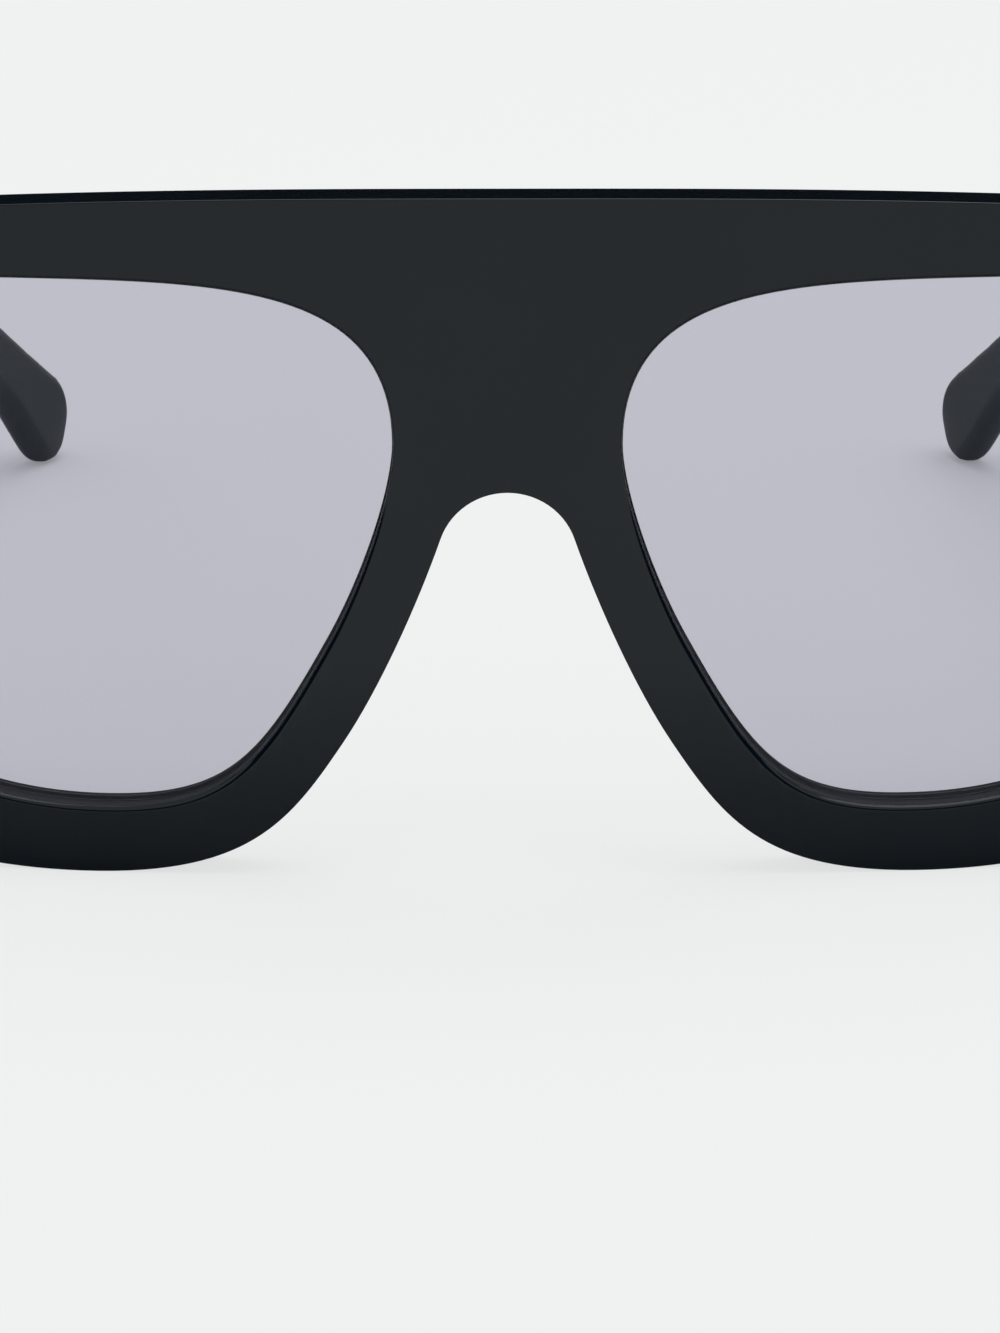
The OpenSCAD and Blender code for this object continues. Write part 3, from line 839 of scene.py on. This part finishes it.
def pad_rings(sizes, steps=60):
    """Rings along the left nose pad: round behind, and sunk a little into the front. A lower
    power of the bulge makes the ends blunter, and the pad stands highest below its middle."""
    line = pad_line(sizes, steps)
    sunk = 0.2 * MM
    bulge = 0.6
    upper_share = 0.75
    arch = arc(Vector((0, 0)), 1, 0, 180, 24)
    rings = []
    for i in range(1, steps):
        share = i / steps
        along = (line[min(i + 1, steps - 1)] - line[i - 1]).normalized()
        full = math.sin(math.pi * share) ** bulge
        half = sizes.pad_width / 2 * full
        high = sizes.pad_height * full * (upper_share + (1 - upper_share) * share)
        turn = math.asin(line[i].x / (sizes.wrap - sizes.thickness))
        outer = Vector((math.sin(turn), -math.cos(turn), 0))
        flat = Vector((math.cos(turn), math.sin(turn), 0))
        across = Vector((0, 0, along.x)) - along.y * flat
        foot = Vector((line[i].x, wrapped_y(sizes, line[i].x, sizes.thickness), line[i].y))
        section = [(half * p.x, -high * p.y) for p in arch] + [(-half, sunk), (half, sunk)]
        rings.append([foot + u * across + v * outer for u, v in section])
    return rings


class SUNGLASSES_OT_pads(bpy.types.Operator):
    """Build the two nose pads on the rear face beside the arch"""
    bl_idname = "sunglasses.pads"
    bl_label = "Nose pads"

    def execute(self, context):
        rings = pad_rings(context.scene.sunglasses_front)
        finishes = [acetate("Pad acetate", 0.05, 0.04)]
        for name, side in SIDES.items():
            bm = new_mesh()
            closed(bm, rings)
            to_piece(bm, f"{name}_pad_polished", finishes, "front",
                     f"{name}_nose_pad", side, sharp=60)
        return {"FINISHED"}


# Temples

def temple_stations(sizes, butt):
    """Distances along the temple, closer together round its butt end and its tip."""
    radius = sizes.tip_height / 2
    round_from = sizes.length - radius
    even_from = 1 * MM
    stations = [0, 0.04 * MM, 0.12 * MM, butt]
    stations += [even_from + (round_from - even_from) * i / 96 for i in range(97)]
    stations += [round_from + radius * math.sin(math.radians(86 * i / 16)) for i in range(1, 17)]
    return stations


def temple_rings(sizes):
    """Rings along the left temple, in the hinge's own axes. The butt end's edge is rounded,
    and the long edges' round shrinks with the tip."""
    butt = 0.25 * MM
    roundest = 0.9
    centre = Vector((sizes.inner + sizes.thickness / 2, sizes.butt_gap / 2, 0))
    last = 0
    rings = []
    for at in temple_stations(sizes, butt):
        centre = centre + (at - last) * temple_axes(sizes, (at + last) / 2)[0]
        last = at
        _, across, up = temple_axes(sizes, at)
        half, high, lift = temple_section(sizes, at)
        radius = min(sizes.edge, roundest * half, roundest * high)
        inset = 0 if at >= butt else butt - math.sqrt(butt ** 2 - (butt - at) ** 2)
        section = rounded_box(half - inset, high - inset, radius - inset)
        rings.append([centre + p.x * across + (p.y + lift) * up for p in section])
    return rings


class SUNGLASSES_OT_temples(bpy.types.Operator):
    """Build the two temples with their slim middle, ear bend and rounded tip"""
    bl_idname = "sunglasses.temples"
    bl_label = "Temples"

    def execute(self, context):
        rings = temple_rings(context.scene.sunglasses_temple)
        finishes = [acetate("Temple acetate", 0.03, 0.03)]
        for name, side in SIDES.items():
            bm = new_mesh()
            closed(bm, rings)
            bmesh.ops.transform(bm, matrix=at_hinge(), verts=bm.verts)
            to_piece(bm, f"{name}_temple_polished", finishes, f"{name}_temple",
                     f"{name}_temple", side)
        return {"FINISHED"}


# Hinges, screws and rivets

def front_barrel(hinge):
    """Outline of a barrel on the front, with the web that runs forward to the leaf."""
    web = hinge.barrel - 0.3 * MM
    stand = 3.4 * MM
    turn = math.degrees(math.acos(web / hinge.barrel))
    outline = arc(Vector((0, 0)), hinge.barrel, 180 + turn, -turn, 40)
    return outline + [Vector((web, -stand)), Vector((-web, -stand))]


def temple_barrel(hinge, temple):
    """Outline of a barrel on the temple, with the web that runs out and back to the leaf."""
    low = 0.2 * MM
    near = 0.3 * MM
    far = temple.inner - 0.1 * MM
    reach = 3.2 * MM
    start = math.degrees(math.asin(low / hinge.barrel))
    end = math.degrees(math.acos(near / hinge.barrel)) - 360
    outline = arc(Vector((0, 0)), hinge.barrel, start, end, 40)
    return outline + [Vector((near, reach)), Vector((far, reach)), Vector((far, low))]


def barrels(bm, hinge, outline, numbers):
    """Barrels of the five, numbered from the top, each with its web."""
    ends = rounding(hinge.edge, 3)
    for number in numbers:
        foot = (1.5 - number) * (hinge.barrel_height + hinge.barrel_gap) + hinge.barrel_gap / 2
        profile = [(inset, foot + depth) for inset, depth in ends]
        profile += from_far(ends, foot + hinge.barrel_height)
        block(bm, outline, profile, on_hinge)


def leaf_on_front(bm, hinge, sizes):
    """The upright leaf in the front's rear face, under the barrels."""
    inner = 2.2 * MM
    sunk = 0.8 * MM
    corner = 1 * MM
    middle = Vector((PIVOT.x + (hinge.barrel - inner) / 2, PIVOT.z))
    half_width = (hinge.barrel + inner) / 2
    outline = [middle + p for p in rounded_box(half_width, hinge.front_leaf / 2, corner)]
    top = sizes.thickness + hinge.front_proud
    profile = [(0, top - sunk)] + from_far(rounding(hinge.edge, 3), top)
    block(bm, outline, profile,
          lambda p, depth: Vector((p.x, wrapped_y(sizes, p.x, depth), p.y)))


def leaf_on_temple(bm, hinge, temple):
    """The long leaf in the temple's inner side, round at its rear end."""
    half = hinge.leaf_height / 2
    start = 1.3 * MM
    corner = 0.5 * MM
    sunk = 0.9 * MM
    outline = (
        arc(Vector((start + hinge.temple_leaf - half, 0)), half, 90, -90, 24)
        + arc(Vector((start + corner, -half + corner)), corner, -90, -180, 5)
        + arc(Vector((start + corner, half - corner)), corner, 180, 90, 5)
    )
    face = temple.inner - hinge.temple_proud
    profile = [(0, face + sunk)] + [(u, face + v) for u, v in reversed(rounding(hinge.edge, 3))]
    block(bm, outline, profile, lambda p, x: at_hinge() @ Vector((x, p.x, p.y)))


class SUNGLASSES_OT_hinges(bpy.types.Operator):
    """Build the leaves and barrels of the two hinges"""
    bl_idname = "sunglasses.hinges"
    bl_label = "Hinges"

    def execute(self, context):
        scene = context.scene
        temple = scene.sunglasses_temple
        hinge = scene.sunglasses_hinge
        nickel = metal("Nickel silver", scene.sunglasses_colours.nickel, 0.2, (2600, 2600, 300))
        for name, side in SIDES.items():
            bm = new_mesh()
            leaf_on_front(bm, hinge, scene.sunglasses_front)
            barrels(bm, hinge, front_barrel(hinge), (0, 2, 4))
            to_piece(bm, f"{name}_end_hinge_satin", [nickel], "front",
                     f"{name}_end_hinge", side)

            bm = new_mesh()
            leaf_on_temple(bm, hinge, temple)
            barrels(bm, hinge, temple_barrel(hinge, temple), (1, 3))
            to_piece(bm, f"{name}_temple_hinge_satin", [nickel], f"{name}_temple",
                     f"{name}_temple_hinge", side)
        return {"FINISHED"}


def slotted_screw(bm, hinge):
    """The hinge's screw: a shank, and a head whose two halves leave the slot between them."""
    top = 2.5 * (hinge.barrel_height + hinge.barrel_gap) - hinge.barrel_gap / 2
    crown = top + 0.32 * MM
    floor = crown - 0.28 * MM
    under = top - 0.6 * MM
    shank = 0.7 * MM
    bevel = 0.15 * MM
    rooted = 0.1 * MM
    head = hinge.screw_head
    turned(bm, [(0, floor), (head, floor), (head, under), (shank, under), (shank, bevel - top),
                (shank - bevel, -top), (0, -top)], at_hinge())
    chord = math.degrees(math.asin(hinge.slot / 2 / head))
    profile = [(0, floor - rooted)] + from_far(rounding(hinge.edge, 3), crown)
    for way in (1, -1):
        half = [way * p for p in arc(Vector((0, 0)), head, 90 - chord, -90 + chord, 32)]
        block(bm, half, profile, on_hinge)


def rivet_profile(hinge):
    """A domed head with an upright rim, and the stub of the shank under it."""
    head = hinge.rivet_head
    high = 0.35 * MM
    rim = 0.35
    turns = [math.radians(degrees) for degrees in range(0, 91, 10)]
    dome = [(head * math.sin(a), high * (rim + (1 - rim) * math.cos(a))) for a in turns]
    shank = 0.6 * MM
    seated = 0.02 * MM
    sunk = 0.4 * MM
    return dome + [(head, 0), (shank, -seated), (shank, -sunk), (0, -sunk)]


def rivets_on_front(bm, hinge, sizes):
    """The two rivets at the front leaf's ends."""
    x = PIVOT.x - 0.2 * MM
    reach = hinge.front_leaf / 2 - 1.4 * MM
    for way in (-1, 1):
        place = off_front(sizes, x, PIVOT.z + way * reach)
        turned(bm, rivet_profile(hinge), place @ Matrix.Translation((0, 0, hinge.front_proud)))


def rivets_on_temple(bm, hinge, temple):
    """The two rivets along the temple leaf, one above its middle line and one below."""
    face = temple.inner - hinge.temple_proud
    inwards = Matrix.Rotation(-math.pi / 2, 4, "Y")
    for back, up in ((5 * MM, 1.75 * MM), (10.6 * MM, -1.75 * MM)):
        turned(bm, rivet_profile(hinge),
               at_hinge() @ Matrix.Translation((face, back, up)) @ inwards)


class SUNGLASSES_OT_fasteners(bpy.types.Operator):
    """Build the slotted screws and the domed rivets, and give the core wires their steel"""
    bl_idname = "sunglasses.fasteners"
    bl_label = "Screws and rivets"

    def execute(self, context):
        scene = context.scene
        hinge = scene.sunglasses_hinge
        own = scene.sunglasses_colours.steel
        polished = metal("Polished steel", own, 0.12, (2200, 2200, 400))
        satin = metal("Rivet steel", own, 0.2, (900, 900, 900))
        drawn = metal("Drawn wire", own, 0.25, (2200, 300, 2200))
        for name, side in SIDES.items():
            bm = new_mesh()
            slotted_screw(bm, hinge)
            to_piece(bm, f"{name}_screw_slotted", [polished], "front",
                     f"{name}_hinge_screw", side)

            bm = new_mesh()
            rivets_on_front(bm, hinge, scene.sunglasses_front)
            to_piece(bm, f"{name}_front_rivet_heads", [satin], "front",
                     f"{name}_front_rivets", side)

            bm = new_mesh()
            rivets_on_temple(bm, hinge, scene.sunglasses_temple)
            to_piece(bm, f"{name}_temple_rivet_heads", [satin], f"{name}_temple",
                     f"{name}_temple_rivets", side)

            wire = frame["nodes"][f"{name}_core_wire"].data
            wire.materials.clear()
            wire.materials.append(drawn)
        return {"FINISHED"}


# Stage

def paper_floor(pale):
    """Pale paper that runs far past the view."""
    bm = bmesh.new()
    bmesh.ops.create_grid(bm, x_segments=8, y_segments=8, size=6)
    return to_object(bm, "floor", [pale_paper(pale)])


def ring_of_cards():
    """Dark cards round the set, which only reflections see."""
    bm = bmesh.new()
    bmesh.ops.create_circle(bm, segments=64, radius=2)
    made = bmesh.ops.extrude_edge_only(bm, edges=bm.edges[:])
    bmesh.ops.translate(bm, verts=only(made, bmesh.types.BMVert), vec=(0, 0, 0.9))
    cards = to_object(bm, "dark_cards", [dark_card()])
    for kind in ("camera", "diffuse", "transmission", "volume_scatter", "shadow"):
        setattr(cards, "visible_" + kind, False)
    return cards


def studio_world(pale):
    """Soft white light all round, which the camera and reflections see as the pale backdrop."""
    world = bpy.data.worlds.new("Studio")
    world.use_nodes = True
    tree = world.node_tree
    soft = tree.nodes["Background"]
    feed(soft, {"Color": (1, 1, 1, 1), "Strength": 0.62})
    path = add(tree, "LightPath").outputs
    direct = calc(tree, "MAXIMUM", path["Is Camera Ray"], path["Is Glossy Ray"])
    seen = calc(tree, "MAXIMUM", direct, path["Is Transmission Ray"])
    backdrop = add(tree, "Background", {"Color": pale, "Strength": 1})
    show_mixed(tree, seen, soft, backdrop, "World Output")
    return world


def add_softbox(scene):
    """One large soft lamp overhead, a little behind and to the wearer's left."""
    lamp = bpy.data.lights.new("softbox", "AREA")
    lamp.shape = "RECTANGLE"
    lamp.size = 1.6
    lamp.size_y = 1.2
    lamp.energy = 14
    softbox = bpy.data.objects.new("softbox", lamp)
    softbox.location = (0.25, 0.1, 1.5)
    softbox.rotation_euler = (-softbox.location).to_track_quat("-Z", "Y").to_euler()
    scene.collection.objects.link(softbox)


def add_camera(scene):
    """The photograph's view, from in front and a little above."""
    distance = 0.2744
    height = 0.105
    fall = math.radians(17.594)
    roll = math.radians(-0.06)
    lens = bpy.data.cameras.new("camera")
    lens.sensor_width = 36
    lens.lens = 97.68
    lens.clip_start = 0.01
    camera = bpy.data.objects.new("camera", lens)
    camera.location = (-0.6 * MM, FRONT_Y - distance, height)
    camera.rotation_euler = (Matrix.Rotation(math.pi / 2 - fall, 3, "X")
                             @ Matrix.Rotation(roll, 3, "Z")).to_euler()
    scene.collection.objects.link(camera)
    scene.camera = camera


class SUNGLASSES_OT_stage(bpy.types.Operator):
    """Set the pale floor, the background, the soft lamp and the camera"""
    bl_idname = "sunglasses.stage"
    bl_label = "Stage"

    def execute(self, context):
        scene = context.scene
        pale = scene.sunglasses_colours.backdrop
        paper_floor(pale)
        ring_of_cards()
        scene.world = studio_world(pale)
        add_softbox(scene)
        add_camera(scene)
        scene.view_settings.view_transform = "Standard"
        return {"FINISHED"}


# Add-on

GROUPS = {
    "sunglasses_front": FrontSizes,
    "sunglasses_temple": TempleSizes,
    "sunglasses_hinge": HingeSizes,
    "sunglasses_colours": FinishColours,
}
STEPS = (
    SUNGLASSES_OT_front,
    SUNGLASSES_OT_lenses,
    SUNGLASSES_OT_pads,
    SUNGLASSES_OT_temples,
    SUNGLASSES_OT_hinges,
    SUNGLASSES_OT_fasteners,
    SUNGLASSES_OT_stage,
)


class SUNGLASSES_PT_build(bpy.types.Panel):
    """Lists the pieces and the stage, and their sizes and colours"""
    bl_idname = "SUNGLASSES_PT_build"
    bl_label = "Sunglasses"
    bl_space_type = "VIEW_3D"
    bl_region_type = "UI"
    bl_category = "Sunglasses"

    def draw(self, context):
        layout = self.layout
        for step in STEPS:
            layout.operator(step.bl_idname)
        for name in GROUPS:
            group = getattr(context.scene, name)
            box = layout.box()
            for prop in group.bl_rna.properties:
                if prop.identifier not in {"rna_type", "name"}:
                    box.prop(group, prop.identifier)


CLASSES = (*GROUPS.values(), *STEPS, SUNGLASSES_PT_build)


def register():
    """Registers the add-on's classes and its sizes and colours."""
    for cls in CLASSES:
        bpy.utils.register_class(cls)
    for name, cls in GROUPS.items():
        setattr(bpy.types.Scene, name, bpy.props.PointerProperty(type=cls))


def unregister():
    """Takes back what register added."""
    for name in GROUPS:
        delattr(bpy.types.Scene, name)
    for cls in reversed(CLASSES):
        bpy.utils.unregister_class(cls)


def main():
    register()
    for step in STEPS:
        area, operator = step.bl_idname.split(".")
        getattr(getattr(bpy.ops, area), operator)()


if __name__ == "__main__":
    main()
